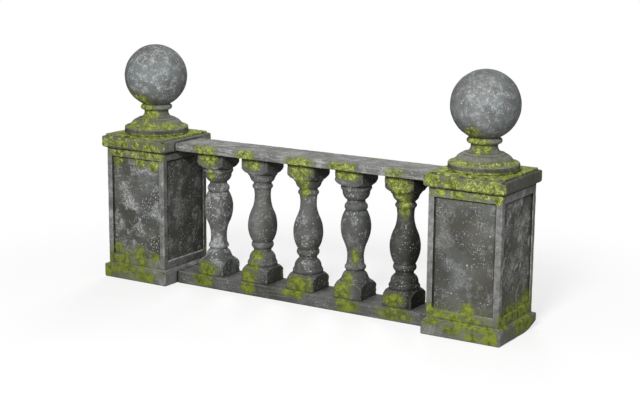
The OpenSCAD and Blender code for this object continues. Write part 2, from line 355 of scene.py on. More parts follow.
def mossColour(add, place):
    def clouds(size, band):
        noise = add("TexNoise", {"Vector": place, "Scale": 1 / size, "Detail": 3.0, "Roughness": 0.6})
        return add("MapRange", {0: noise, 1: band[0], 2: band[1]})

    tone = clouds(mossPaint["toneSize"], mossPaint["toneBand"])
    dust = clouds(mossPaint["dustSize"], mossPaint["dustBand"])
    # the higher it grows the more it is bleached
    height = add("SeparateXYZ", {0: place}).outputs["Z"]
    bleached = add("MapRange", {0: height, 2: mossPaint["dustTop"]})
    for share in (tone, bleached):
        dust = add("Math", {0: dust, 1: share}, operation="MULTIPLY")
    colour = linearColour(mossPaint["deep"])
    for share, paint in ((tone, "middle"), (dust, "bright")):
        colour = add("Mix", {
            0: share, 6: colour, 7: linearColour(mossPaint[paint])}, data_type="RGBA").outputs[2]
    return colour


def makeStone(name, look):
    material = bpy.data.materials.new(name)
    add = handToNodes(material)
    place = add("TexCoord").outputs["Object"]
    side, field, sponged, wash_and_painted_shade, grime, wear, seam, cover = [
        add("Attribute", attribute_name=noted).outputs["Fac"]
        for noted in ("side", "field", "sponged", "wash_and_painted_shade", "grime", "wear", "seam", "moss")]

    def ramp(value, levels):
        return add("MapRange", {0: value, 1: levels[0], 2: levels[1], 3: levels[2], 4: levels[3]})

    def mottle(layer):
        size, times, detail, roughness, *levels = layers[layer]
        noise = add("TexNoise", {
            "Vector": place, "Scale": 1 / (look[size] * times), "Detail": detail, "Roughness": roughness})
        return ramp(noise, levels)

    def coat(under, paint, *shares):
        # paint laid over a colour, as thick as its shares multiplied together
        thickness = shares[0]
        for share in shares[1:]:
            thickness = add("Math", {0: thickness, 1: share}, operation="MULTIPLY")
        return add("Mix", {0: thickness, 6: under, 7: paint}, data_type="RGBA").outputs[2]

    def drops(size, widest, share):
        # some of the cells hold a round drop, and some of the drops are fainter
        cells = add("TexVoronoi", {"Vector": place, "Scale": 1 / size}).outputs
        picked = add("SeparateColor", {0: cells["Color"]})
        return (add("MapRange", {0: cells["Distance"], 1: widest, 2: widest / 2}),
                add("MapRange", {0: picked, 1: 1 - share, 3: 0.3}),
                add("Math", {0: picked, 1: 1 - share}, operation="GREATER_THAN"))

    def strokes(sizes, slant, start, full):
        # marks of a nearly dry brush, long in one direction
        drawn = add("Mapping", {
            "Vector": place, "Rotation": (math.radians(slant), 0, 0), "Scale": sizes}, vector_type="TEXTURE")
        marks = add("TexNoise", {"Vector": drawn, "Scale": 1.0, "Detail": 4.0, "Roughness": 0.6})
        return add("MapRange", {0: marks, 1: start, 2: full})

    paints = {key: linearColour(value) for key, value in look.items() if str(value).startswith("#")}
    # smoky ground: two greys in wide clouds, tinted brown here and blue there
    colour = coat(paints["dark"], paints["middle"], mottle("clouds"))
    colour = coat(colour, paints["brown"], mottle("brownTint"))
    colour = coat(colour, paints["blue"], mottle("blueTint"))
    colour = coat(colour, paints["brown"], side, look["streakBrown"])

    # sponged patches with ragged edges, whole on the panels' fields and thin on frames and mouldings
    patches = mottle("patches")
    colour = coat(colour, paints["pale"], patches, mottle("stipple"), sponged, look["patchShare"])
    colour = coat(colour, paints["pale"], ramp(field, ramps["framed"]), mottle("rubAndHighlight"))

    # a dark wash, partly painted shade, over some of the pieces, which shows through the spatter thrown on it
    colour = coat(colour, paints["grime"], wash_and_painted_shade)
    clear = ramp(wash_and_painted_shade, ramps["clear"])

    # spatter: fine specks crowded together in places, and a few larger dots
    colour = coat(colour, paints["speck"], *drops(look["speckSize"], *spatters["speck"]),
                  mottle("crowds"), field, clear, ramp(sponged, ramps["thrown"]), look["speckShare"])
    colour = coat(colour, paints["speck"], *drops(look["dotSize"], spatters["dotWidth"], look["dotShare"]),
                  field, clear, look["speckShare"])

    # dry brush, slanting on the sides of the piers, in places, and along the rails
    colour = coat(colour, paints["edge"], strokes(*brushMarks["side"]), side, mottle("smeared"))
    if "brushSize" in look:
        colour = coat(colour, paints["edge"], strokes(*brushMarks["rail"]), ramp(sponged, ramps["brushed"]))

    # dirt and painted shade in the hollows, then the arrises picked out with a dry brush and a painted
    # highlight, then the painted shadow lines
    colour = coat(colour, paints["grime"], grime, look["shadeAndGrimeShare"])
    colour = coat(colour, paints["edge"], wear, mottle("skips"), look["edgeShare"])
    colour = coat(colour, paints["grime"], seam)

    # olive wash, then the moss itself
    hold = mossField(add, place, cover)
    stain = add("MapRange", {
        0: hold, 1: moss["stainBelow"], 2: moss["stainAbove"], 4: mossPaint["stainShare"]})
    colour = coat(colour, linearColour(mossPaint["stain"]), stain)
    grown = add("MapRange", {0: hold, 1: moss["bareBelow"], 2: moss["fullAbove"]})
    colour = coat(colour, mossColour(add, place), grown, mottle("worn"))

    # grain of the moulded face, too fine to model: 2 mm grit and 7 mm dimples
    grit = add("TexNoise", {"Vector": place, "Scale": 1 / (2.2 * mm), "Detail": 3.0, "Roughness": 0.6})
    grit = add("Bump", {"Strength": 0.5, "Distance": 0.5 * mm, "Height": grit})
    relief = add("TexNoise", {"Vector": place, "Scale": 1 / (7 * mm), "Detail": 3.0, "Roughness": 0.55})
    relief = add("Bump", {"Strength": 0.6, "Distance": 1.2 * mm, "Height": relief, "Normal": grit})
    surface = add("BsdfPrincipled", {
        "Base Color": colour, "Roughness": ramp(patches, ramps["roughness"]), "IOR": 1.5,
        "Specular IOR Level": 0.1, "Normal": relief})
    add("OutputMaterial", {"Surface": surface})
    return material


def makeFlock():
    # cut nylon fibres in clumps: each clump a matt yellow-green grain
    material = bpy.data.materials.new("mossFlock")
    add = handToNodes(material)
    place = add("TexCoord").outputs["Object"]
    surface = add("BsdfPrincipled", {
        "Base Color": mossColour(add, place), "Roughness": 0.95, "Specular IOR Level": 0.1,
        "Sheen Weight": 0.2, "Sheen Roughness": 0.6})
    add("OutputMaterial", {"Surface": surface})
    return material


materials = {
    "pier_stone": makeStone("agedPierLaminate", pierStone),
    "cap_stone": makeStone("agedCapLaminate", capStone),
    "ball_stone": makeStone("cloudedBallLaminate", ballStone),
    "rail_stone": makeStone("agedRailLaminate", railStone),
    "baluster_stone": makeStone("agedBalusterLaminate", balusterStone),
    "moss": makeFlock(),
}
print("materials made")


# the tree that turns a lathe-made piece: a sheet wrapped round the axis and pressed on to the node's shape

lathe = {
    "sides": 96,
    "rowHeight": 2.4 * mm,
    "reach": 0.25,  # metres from the axis to where the rays start
    "clearance": 0.1 * mm,  # how far inside its ends a shape is read
    "cornerPull": 0.35,  # draws the sides together towards a square block's corners
    "arrisRound": 1.2 * mm,  # how much a block's arris is drawn in
    "weld": 0.05 * mm,
}


def makeLatheTree():
    add, given, close = newGeometryTree("turnedPiece", [
        ("Sides", "Int"), ("Rows", "Int"), ("Axis", "Vector"), ("Height", "Float"), ("Reach", "Float"),
        ("Corner pull", "Float"), ("Longest radius", "Float"), ("Shape", "Object")])
    sheet = add("GeometryNodeMeshGrid", {
        "Size X": 1.0, "Size Y": 1.0, "Vertices X": given["Sides"], "Vertices Y": given["Rows"]})
    at = add("SeparateXYZ", {0: add("GeometryNodeInputPosition")}).outputs
    around = add("Math", {0: at["X"], 1: 2 * math.pi}, operation="MULTIPLY")
    fourfold = add("Math", {0: around, 1: 4.0}, operation="MULTIPLY")
    pull = add("Math", {0: fourfold}, operation="SINE")
    pull = add("Math", {0: pull, 1: given["Corner pull"]}, operation="MULTIPLY")
    angle = add("Math", {0: pull, 1: 0.25, 2: around}, operation="MULTIPLY_ADD")
    outward = add("CombineXYZ", {
        "X": add("Math", {0: angle}, operation="COSINE"),
        "Y": add("Math", {0: angle}, operation="SINE")})
    up = add("Math", {0: at["Y"], 1: 0.5}, operation="ADD")
    up = add("Math", {0: up, 1: given["Height"]}, operation="MULTIPLY")
    top = add("Math", {0: given["Height"], 1: lathe["clearance"]}, operation="SUBTRACT")
    rayUp = add("Clamp", {0: up, 1: lathe["clearance"], 2: top})

    def placed(distance, height):
        # the point at this distance from the axis and this height
        point = add("VectorMath", {0: outward, "Scale": distance}, operation="SCALE")
        point = add("VectorMath", {0: given["Axis"], 1: point}, operation="ADD")
        return add("VectorMath", {0: point, 1: add("CombineXYZ", {"Z": height})}, operation="ADD")

    inward = add("VectorMath", {0: outward, "Scale": -1.0}, operation="SCALE")
    shape = add("GeometryNodeObjectInfo", {"Object": given["Shape"]}, transform_space="RELATIVE")
    ray = add("GeometryNodeRaycast", {
        "Target Geometry": shape.outputs["Geometry"], "Source Position": placed(given["Reach"], rayUp),
        "Ray Direction": inward, "Ray Length": given["Reach"]})
    radius = add("Math", {0: given["Reach"], 1: ray.outputs["Hit Distance"]}, operation="SUBTRACT")
    radius = add("Math", {0: radius, 1: given["Longest radius"]}, operation="MINIMUM")
    wrapped = add("GeometryNodeSetPosition", {"Geometry": sheet, "Position": placed(radius, up)})
    whole = add("GeometryNodeMergeByDistance", {"Geometry": wrapped, "Distance": lathe["weld"]})
    return close(whole)


latheTree = makeLatheTree()


def turnedPiece(node, finish, longestRadius=1.0):
    low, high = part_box(node)
    obj = newObject(node + "_shell", bpy.data.meshes.new(node + "_shell"))
    runTree(obj, latheTree, {
        "Sides": lathe["sides"] + 1, "Rows": round((high.z - low.z) / lathe["rowHeight"]) + 1,
        "Axis": ((low.x + high.x) / 2, (low.y + high.y) / 2, low.z), "Height": high.z - low.z,
        "Reach": lathe["reach"], "Corner pull": lathe["cornerPull"], "Longest radius": longestRadius,
        "Shape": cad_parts[node], "Finish": finish})
    bm = bmesh.new()
    bm.from_mesh(obj.data)
    bmesh.ops.holes_fill(bm, edges=[e for e in bm.edges if e.is_boundary])  # the flat ends
    bmesh.ops.recalc_face_normals(bm, faces=bm.faces)
    bm.to_mesh(obj.data)
    bm.free()
    return obj


# the tree that ages a face: it wears the shape inwards and notes its worn arrises, which also get a painted
# highlight, the dirt and painted shade in its corners, and its painted shadow lines

ageing = {
    "Undulation": 0.8 * mm, "Undulation size": 38 * mm, "Pitting": 0.7 * mm, "Pit size": 9 * mm,
    "Chipping": 2.0 * mm, "Chip size": 16 * mm, "Reach": 60 * mm, "Tight from": 0.72, "Rub and highlight upward": 0.6,
    "Seed": 4.0,
}
wearing = {
    # the levels of the noise between which each kind of wear sets in
    "undulation": (0.3, 0.7), "pits": (0.56, 0.72), "chips": (0.50, 0.64),
    # how far a point stands out from its surroundings, or lies in, where each starts and is full
    "chipped": (0.25 * mm, 1.2 * mm), "rubbed": (0.12 * mm, 0.9 * mm), "hollow": (-0.15 * mm, -1.2 * mm),
    "bedding": 0.3 * mm,  # how near its bed a face keeps its height
    "upward": (-0.3, 0.5), "rubDownward": 0.55, "shaftRubAndHighlight": 3.2,  # a shaft's lips are rubbed far more, and the up-facing ones also get a painted highlight
}
# rays for the dirt and painted shade in corners and hollows, and for the painted shadow lines under overhangs
shadeAndDirt = {
    "rays": 16, "lift": 3.5 * mm,  # the rays start this far off the face
    "overhang": -0.2,  # rays that point lower than this find ledges, which stay clear of the painted shadow line
    "line": (0.03, 0.12), "ledge": (0.6, 0.2), "hollowShare": 0.6,
}


def makeAgeTree():
    add, given, close = newGeometryTree("agedFace", [(label, "Float") for label in ageing] + [
        ("Bed low", "Float"), ("Bed high", "Float"), ("Surroundings", "Object")])
    position = add("GeometryNodeInputPosition")
    normal = add("GeometryNodeInputNormal")

    def pattern(size, detail, band):
        scale = add("Math", {0: 1.0, 1: size}, operation="DIVIDE")
        noise = add("TexNoise", {
            "Vector": position, "W": given["Seed"], "Scale": scale, "Detail": detail}, noise_dimensions="4D")
        return add("MapRange", {0: noise, 1: band[0], 2: band[1]}, interpolation_type="SMOOTHSTEP")

    def bulge(band):
        # how far a point stands out from, or below zero lies in from, its blurred surroundings
        blurred = add("GeometryNodeBlurAttribute", {0: position, "Iterations": 2}, data_type="FLOAT_VECTOR")
        stand = add("VectorMath", {0: position, 1: blurred}, operation="SUBTRACT")
        stand = add("VectorMath", {0: stand, 1: normal}, operation="DOT_PRODUCT")
        return add("MapRange", {0: stand.outputs["Value"], 1: band[0], 2: band[1]})

    # undulation and pits all over, chips along the arrises
    depth = add("Math", {
        0: pattern(given["Undulation size"], 1.0, wearing["undulation"]), 1: given["Undulation"]},
        operation="MULTIPLY")
    depth = add("Math", {
        0: pattern(given["Pit size"], 2.0, wearing["pits"]), 1: given["Pitting"], 2: depth},
        operation="MULTIPLY_ADD")
    arris = bulge(wearing["chipped"])
    chips = add("Math", {
        0: pattern(given["Chip size"], 2.0, wearing["chips"]), 1: arris}, operation="MULTIPLY")
    depth = add("Math", {0: chips, 1: given["Chipping"], 2: depth}, operation="MULTIPLY_ADD")
    inward = add("Math", {0: depth, 1: -1.0}, operation="MULTIPLY")
    offset = add("VectorMath", {0: normal, "Scale": inward}, operation="SCALE")
    # a face that beds on another piece stays at its height
    height = add("SeparateXYZ", {0: position}).outputs["Z"]
    beds = [add("Math", {0: height, 1: given[bed], 2: wearing["bedding"]}, operation="COMPARE")
            for bed in ("Bed low", "Bed high")]
    bedded = add("Math", {0: beds[0], 1: beds[1]}, operation="MAXIMUM")
    free = add("Math", {0: 1.0, 1: bedded}, operation="SUBTRACT")
    free = add("CombineXYZ", {"X": 1.0, "Y": 1.0, "Z": free})
    offset = add("VectorMath", {0: offset, 1: free}, operation="MULTIPLY")
    aged = add("GeometryNodeSetPosition", {"Geometry": given["Geometry"], "Offset": offset})

    # a ring of rays finds the corners and overhangs, which get dirt and painted shade
    shape = add("GeometryNodeObjectInfo", {"Object": given["Surroundings"]}, transform_space="RELATIVE")
    lift = add("VectorMath", {0: normal, "Scale": shadeAndDirt["lift"]}, operation="SCALE")
    start = add("VectorMath", {0: position, 1: lift}, operation="ADD")
    blocked, closed, weights = 0.0, 0.0, 0.0
    for i in range(shadeAndDirt["rays"]):
        z = 1 - (2 * i + 1) / shadeAndDirt["rays"]
        a = i * math.pi * (3 - math.sqrt(5))
        direction = (math.cos(a) * math.sqrt(1 - z * z), math.sin(a) * math.sqrt(1 - z * z), z)
        facing = add("VectorMath", {0: normal, 1: direction}, operation="DOT_PRODUCT")
        facing = add("Math", {0: facing.outputs["Value"], 1: 0.0}, operation="MAXIMUM")
        ray = add("GeometryNodeRaycast", {
            "Target Geometry": shape.outputs["Geometry"], "Source Position": start,
            "Ray Direction": direction, "Ray Length": given["Reach"]})
        near = add("Math", {0: ray.outputs["Hit Distance"], 1: given["Reach"]}, operation="DIVIDE")
        near = add("Math", {0: 1.0, 1: near}, operation="SUBTRACT")
        near = add("Math", {0: near, 1: ray.outputs["Is Hit"]}, operation="MULTIPLY")
        blocked = add("Math", {0: near, 1: facing, 2: blocked}, operation="MULTIPLY_ADD")
        if z > shadeAndDirt["overhang"]:
            # the black line is a painted shadow: it stays under overhangs and beside lips, and off ledges
            # that face up
            tight = add("MapRange", {0: near, 1: given["Tight from"]})
            closed = add("Math", {0: tight, 1: facing, 2: closed}, operation="MULTIPLY_ADD")
        weights = add("Math", {0: facing, 1: weights}, operation="ADD")
    shade = add("Math", {0: blocked, 1: weights}, operation="DIVIDE")
    shade = add("GeometryNodeBlurAttribute", {0: shade, "Iterations": 2})
    hollow = bulge(wearing["hollow"])
    grime = add("Math", {
        0: hollow, 1: shadeAndDirt["hollowShare"], 2: shade}, operation="MULTIPLY_ADD", use_clamp=True)
    seam = add("Math", {0: closed, 1: weights}, operation="DIVIDE")
    seam = add("MapRange", {0: seam, 1: shadeAndDirt["line"][0], 2: shadeAndDirt["line"][1]})
    upward = add("SeparateXYZ", {0: normal}).outputs["Z"]
    notLedge = add("MapRange", {0: upward, 1: shadeAndDirt["ledge"][0], 2: shadeAndDirt["ledge"][1]})
    seam = add("Math", {0: seam, 1: notLedge}, operation="MULTIPLY")
    # hands and weather rub most at the arrises that face up, and these get a painted highlight too
    rubAndHighlight = add("MapRange", {
        0: upward, 1: wearing["upward"][0], 2: wearing["upward"][1], 3: wearing["rubDownward"],
        4: given["Rub and highlight upward"]})
    wear = add("Math", {0: bulge(wearing["rubbed"]), 1: rubAndHighlight}, operation="MULTIPLY")
    for name, value in (("grime", grime), ("wear", wear), ("seam", seam)):
        aged = add("GeometryNodeStoreNamedAttribute", {
            "Geometry": aged, "Name": name, "Value": value}, data_type="FLOAT", domain="POINT")
    return close(aged)


ageTree = makeAgeTree()


# every solid in one object, for the rays that find the corners
surroundings = gather("surroundings", [node.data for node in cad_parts.values()])
surroundings.hide_render = True


def age(obj, finish, bedLow, bedHigh, **changes):
    values = dict(ageing, **changes)
    values.update({"Bed low": bedLow, "Bed high": bedHigh, "Surroundings": surroundings, "Finish": finish})
    runTree(obj, ageTree, values)


# prismatic pieces: the node's own solid, diced fine enough to take the relief

cutting = {
    "weld": 0.02 * mm, "flat": 0.5,  # degrees between faces that count as one
    "cell": 5.5 * mm, "coarseCell": 7.5 * mm, "pierCornerRound": 4.0 * mm, "capCornerRound": 7.0 * mm,
    "cornerSteps": (0.3, 0.65, 1.0, 1.8),  # cuts beside a corner, in its radius, for its round to bend at
    "lipRound": 1.6 * mm, "lipDepth": 9 * mm, "lipInset": 20 * mm, "lipClear": 5 * mm,
}


def solidOf(*nodes):
    # the nodes' triangles joined up, each face marked with the place of its node in the list
    bm = bmesh.new()
    for index, node in enumerate(nodes):
        before = len(bm.faces)
        bm.from_mesh(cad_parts[node].data)
        bm.faces.ensure_lookup_table()
        for face in bm.faces[before:]:
            face.material_index = index
    bmesh.ops.remove_doubles(bm, verts=bm.verts, dist=cutting["weld"])
    return bm


def flatten(bm):
    bmesh.ops.dissolve_limit(
        bm, angle_limit=math.radians(cutting["flat"]), verts=bm.verts, edges=bm.edges,
        delimit={"MATERIAL"})


def dice(bm, axis, places):
    direction = Vector((axis == 0, axis == 1, axis == 2))
    for place in places:
        bmesh.ops.bisect_plane(
            bm, geom=bm.verts[:] + bm.edges[:] + bm.faces[:], dist=0.001 * mm,
            plane_co=direction * float(place), plane_no=direction)


def roundCorners(bm, centre, radius):
    # every level square section about the upright centre line gets rounded corners
    for vert in bm.verts:
        x, y = vert.co.x - centre.x, vert.co.y - centre.y
        half = max(abs(x), abs(y))
        overX, overY = abs(x) - half + radius, abs(y) - half + radius
        if overX > 0 and overY > 0:
            shrink = radius / math.hypot(overX, overY)
            vert.co.x = centre.x + math.copysign(half - radius + overX * shrink, x)
            vert.co.y = centre.y + math.copysign(half - radius + overY * shrink, y)


def tidyFaces(bm):
    bmesh.ops.triangulate(bm, faces=[f for f in bm.faces if len(f.verts) > 4])
    bmesh.ops.recalc_face_normals(bm, faces=bm.faces)


def cutUp(bm, low, high, cell, cornerRound=0):
    # into cells on all three axes, and rounded at the upright corners where a piece has them
    steps = cornerRound * np.array(cutting["cornerSteps"])
    for axis in range(3):
        count = max(2, round((high[axis] - low[axis]) / cell) + 1)
        dice(bm, axis, np.linspace(low[axis], high[axis], count)[1:-1])
        if cornerRound and axis < 2:
            dice(bm, axis, np.concatenate([low[axis] + steps, high[axis] - steps]))
    if cornerRound:
        roundCorners(bm, (low + high) / 2, cornerRound)
    tidyFaces(bm)


def cutPiece(node, cornerRound=0):
    # a plinth, a cap or a rail
    bm = solidOf(node)
    flatten(bm)
    cutUp(bm, *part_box(node), cutting["coarseCell"], cornerRound)
    return objectFromBmesh(node + "_shell", bm)


def shaftPieces(hand):
    # the four panels are aged together, so that they still meet at the arrises, and then parted
    nodes = [hand + "_" + side + "_panel" for side in ("front", "back", "outer", "inner")]
    bm = solidOf(*nodes)
    mitres = [f for f in bm.faces if abs(abs(f.normal.x) - abs(f.normal.y)) < 0.01 and abs(f.normal.z) < 0.01]
    bmesh.ops.delete(bm, geom=mitres, context="FACES")
    flatten(bm)
    low = Vector(map(min, *[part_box(n)[0] for n in nodes]))
    high = Vector(map(max, *[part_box(n)[1] for n in nodes]))
    centre, half = (low + high) / 2, (high.x - low.x) / 2

    # the lip of each recess is softened
    def onLip(edge):
        if not edge.is_manifold:
            return False
        ends = [vert.co for vert in edge.verts]
        middle = (ends[0] + ends[1]) / 2 - centre
        across = sorted((abs(middle.x), abs(middle.y)))
        upright = abs(ends[0].z - ends[1].z) > 1 * mm
        clear = all(low.z + cutting["lipClear"] < e.z < high.z - cutting["lipClear"] for e in ends)
        sharp = edge.link_faces[0].normal.angle(edge.link_faces[1].normal) > 1  # radian
        return sharp and half - across[1] < cutting["lipDepth"] and clear and (
            upright or across[0] < half - cutting["lipInset"])

    lips = [e for e in bm.edges if onLip(e)]
    bmesh.ops.bevel(
        bm, geom=lips, offset=cutting["lipRound"], segments=2, profile=0.5, affect="EDGES", material=-1)
    early = len(bm.faces)
    cutUp(bm, low, high, cutting["cell"], cutting["pierCornerRound"])
    # bevelling leaves these in an order that changes from run to run, and grains are scattered in that order
    bm.faces.ensure_lookup_table()
    bm.faces.index_update()
    first = sorted(bm.faces[:early], key=lambda face: [round(c, 5) for c in face.calc_center_median()])
    for index, face in enumerate(first):
        face.index = index
    bm.faces.sort()
    panelOf = bm.faces.layers.int.new("panel")
    for face in bm.faces:
        face[panelOf] = face.material_index
        face.material_index = 0
    whole = objectFromBmesh(hand + "_shaft", bm)
    age(whole, materials["pier_stone"], low.z, high.z, **{"Rub and highlight upward": wearing["shaftRubAndHighlight"]})
    made = []
    for index, node in enumerate(nodes):
        part = bmesh.new()
        part.from_mesh(whole.data)
        panelOf = part.faces.layers.int["panel"]
        bmesh.ops.delete(part, geom=[f for f in part.faces if f[panelOf] != index], context="FACES")
        bmesh.ops.holes_fill(part, edges=[e for e in part.edges if e.is_boundary])
        tidyFaces(part)
        panel = objectFromBmesh(node + "_shell", part)
        panel.data.materials.append(materials["pier_stone"])
        made.append((panel, node))
    bpy.data.objects.remove(whole)
    return made


ballCells = 40  # to a side of the cube that a ball is blown up from


def ballPiece(node):
    low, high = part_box(node)
    radius = (high.x - low.x) / 2
    centre = Vector(((low.x + high.x) / 2, (low.y + high.y) / 2, high.z - radius))
    bm = bmesh.new()
    bmesh.ops.create_cube(bm, size=2.0)
    bmesh.ops.subdivide_edges(bm, edges=bm.edges, cuts=ballCells - 1, use_grid_fill=True)
    for vert in bm.verts:
        # evens out the cells before they are pushed out to the sphere
        spread = Vector([math.tan(c * math.pi / 4) for c in vert.co])
        vert.co = centre + spread.normalized() * radius
        vert.co.z = max(vert.co.z, low.z)
    bmesh.ops.recalc_face_normals(bm, faces=bm.faces)
    return objectFromBmesh(node + "_shell", bm)


# where the moss is: a centre and three radii in millimetres, and a strength where it isn't 1; the centres
# are measured from a pier's centre line on the floor or from the middle of a baluster's foot

leftMoss = [
    # plinth
    (-140, -164, 34, 46, 22, 28), (56, -164, 26, 50, 22, 30), (-50, -160, 52, 70, 22, 22),
    # sill and foot of the panel
    (-128, -150, 86, 30, 20, 24), (-68, -150, 84, 44, 20, 22), (22, -150, 88, 40, 20, 24),
    (12, -146, 116, 26, 20, 28), (95, -146, 112, 24, 20, 16), (-104, -142, 128, 24, 20, 22),
    # head of the frame and the runs below it
    (-90, -150, 548, 52, 20, 22), (38, -150, 548, 56, 20, 22), (118, -150, 546, 30, 20, 18),
    (-98, -144, 510, 22, 20, 24), (26, -144, 512, 34, 20, 20), (95, -144, 506, 24, 20, 26),
    # cap, its front and its top
    (-136, -164, 588, 40, 22, 18), (-52, -164, 590, 34, 22, 22), (22, -164, 584, 26, 22, 16),
    (92, -164, 578, 44, 22, 18), (30, 10, 621, 180, 180, 8, 1.2),
    # foot of the finial, and the ledge round it
    (0, 0, 620, 150, 150, 9, 1.5), (0, 0, 654, 130, 130, 9), (-46, -102, 660, 40, 40, 16),
    (36, -110, 660, 36, 40, 18), (100, -58, 662, 34, 38, 16), (4, -54, 700, 36, 34, 30),
    (-10, -58, 734, 38, 36, 18),
    # underside of the ball
    (-14, -92, 768, 44, 34, 30), (-60, -84, 790, 34, 34, 24, 0.7),
    # thin washes
    (0, -160, 590, 170, 30, 40, 0.5), (0, -150, 545, 160, 24, 30, 0.45), (-30, -155, 66, 150, 24, 70, 0.55),
    (0, -30, 680, 140, 120, 60, 0.15),
]
rightMoss = [
    # plinth
    (-36, -164, 32, 38, 22, 16), (52, -164, 22, 24, 22, 16), (126, -164, 26, 30, 24, 34),
    (100, -160, 52, 44, 22, 18), (-120, -160, 52, 30, 22, 14), (20, -160, 62, 50, 22, 18),
    # sill and foot of the panel
    (-132, -150, 94, 24, 20, 24), (-92, -150, 86, 38, 20, 18), (-30, -150, 78, 46, 20, 18),
    (18, -146, 106, 26, 20, 32), (44, -150, 74, 36, 20, 22),
    # right-hand face
    (150, -110, 84, 20, 44, 30), (150, -40, 96, 20, 44, 34), (150, 40, 92, 20, 50, 42),
    (150, 100, 108, 20, 40, 44), (162, 10, 48, 20, 40, 34), (162, 80, 44, 20, 34, 36),
    # head of the frame
    (-100, -150, 550, 26, 20, 18), (-26, -150, 544, 34, 20, 20), (64, -150, 548, 34, 20, 16),
    (136, -150, 548, 22, 20, 22),
    # cap, its front and its top
    (-130, -164, 594, 42, 22, 22), (-40, -164, 586, 46, 22, 18), (30, -164, 582, 40, 22, 20),
    (110, -164, 586, 54, 22, 24), (0, 0, 621, 185, 185, 8, 1.3),
    # foot of the finial, and the ledge round it
    (0, 0, 620, 150, 150, 9, 1.5), (0, 0, 654, 132, 132, 9, 1.15), (14, -54, 704, 36, 36, 18),
    (8, -66, 731, 38, 38, 14), (-36, -56, 731, 34, 34, 14), (-10, -92, 768, 32, 28, 24),
    # thin washes
    (0, -160, 590, 170, 30, 40, 0.5), (0, -150, 545, 160, 24, 30, 0.4), (0, -155, 64, 160, 24, 60, 0.4),
    (156, 20, 80, 24, 140, 80, 0.45), (0, -30, 680, 140, 120, 60, 0.1),
]
balusterMoss = {
    # base block and rail under it, stem, upper block and rail over it
    1: [(-18, -63, 24, 40, 20, 28), (-28, -78, -20, 42, 20, 26), (4, -56, 428, 20, 20, 30),
        (-6, -63, 494, 42, 20, 28), (-4, -86, 532, 46, 20, 20)],
    2: [(-26, -63, 24, 32, 20, 28), (-22, -78, -22, 30, 20, 26), (4, -48, 116, 24, 24, 20),
        (-8, -56, 68, 28, 22, 26, 0.9), (-12, -63, 496, 40, 20, 24), (-32, -86, 532, 40, 20, 22)],
    3: [(-4, -63, 26, 52, 20, 32), (-18, -78, -8, 50, 20, 18), (10, -46, 408, 20, 20, 28),
        (2, -56, 448, 34, 20, 22), (-4, -63, 494, 50, 20, 28), (10, -86, 532, 54, 20, 18)],
    4: [(-22, -63, 28, 38, 20, 34), (8, -78, -22, 44, 20, 28), (-4, -50, 78, 22, 24, 24),
        (20, -38, 166, 18, 22, 28), (-8, -63, 498, 48, 20, 20), (-16, -86, 530, 52, 20, 22)],
    5: [(-14, -63, 28, 44, 20, 22), (4, -78, -22, 64, 20, 22), (14, -40, 398, 24, 24, 46),
        (6, -56, 446, 40, 22, 24), (0, -63, 494, 56, 20, 28), (-6, -86, 532, 36, 20, 18, 0.8)],
}


patchCover = {
    "reach": 1.6,  # in a patch's radii: its cover runs out here, and is whole from 1 nearer in
    "back": 0.9,  # strength of the patches that are turned half round
    "farAcross": 130, "farForward": 40,  # millimetres: patches further out than this are turned
    "shadowLineShare": 0.8, "bare": 3 * mm,  # how much the painted shadow line keeps moss away, and the foot that has none
}


def placePatches():
    # every patch in metres in the wall's own frame: centre, radii and strength
    pier = Vector(((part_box("right_ball")[0].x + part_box("right_ball")[1].x) / 2, 0, 0))
    groups = [(-pier, leftMoss), (pier, rightMoss)]
    for number, patches in balusterMoss.items():
        low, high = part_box("baluster_" + str(number))
        groups.append((Vector(((low.x + high.x) / 2, 0, low.z)), patches))
    placed = []
    for start, group in groups:
        for patch in group:
            place, radii = start + Vector(patch[:3]) * mm, Vector(patch[3:6]) * mm
            strength = patch[6] if len(patch) > 6 else 1.0
            placed.append((place, radii, strength))
            if abs(patch[0]) > patchCover["farAcross"] or abs(patch[1]) > patchCover["farForward"]:
                # the back and the far end get the same, turned half round
                turned = Vector((-place.x, -place.y, place.z))
                placed.append((turned, radii, patchCover["back"] * strength))
    return placed


mossPatches = placePatches()


def noteValues(obj, name, values):
    attribute = obj.data.attributes.new(name, "FLOAT", "POINT")
    attribute.data.foreach_set("value", np.asarray(values, np.float32))


def readValues(obj, name):
    values = np.empty(len(obj.data.vertices), np.float32)
    obj.data.attributes[name].data.foreach_get("value", values)
    return values


def raiseValues(obj, name, values):
    # lifts what is already noted under this name
    raised = np.minimum(np.maximum(readValues(obj, name), values), 1).astype(np.float32)
    obj.data.attributes[name].data.foreach_set("value", raised)


def markMoss(obj):
    points = readPoints(obj.data)
    cover = np.zeros(len(points))
    for centre, radii, strength in mossPatches:
        away = np.linalg.norm((points - centre[:]) / radii[:], axis=1)
        cover = np.maximum(cover, strength * np.clip(patchCover["reach"] - away, 0, 1))
    cover *= (points[:, 2] > patchCover["bare"]) * (1 - patchCover["shadowLineShare"] * readValues(obj, "seam"))
    noteValues(obj, "moss", cover)


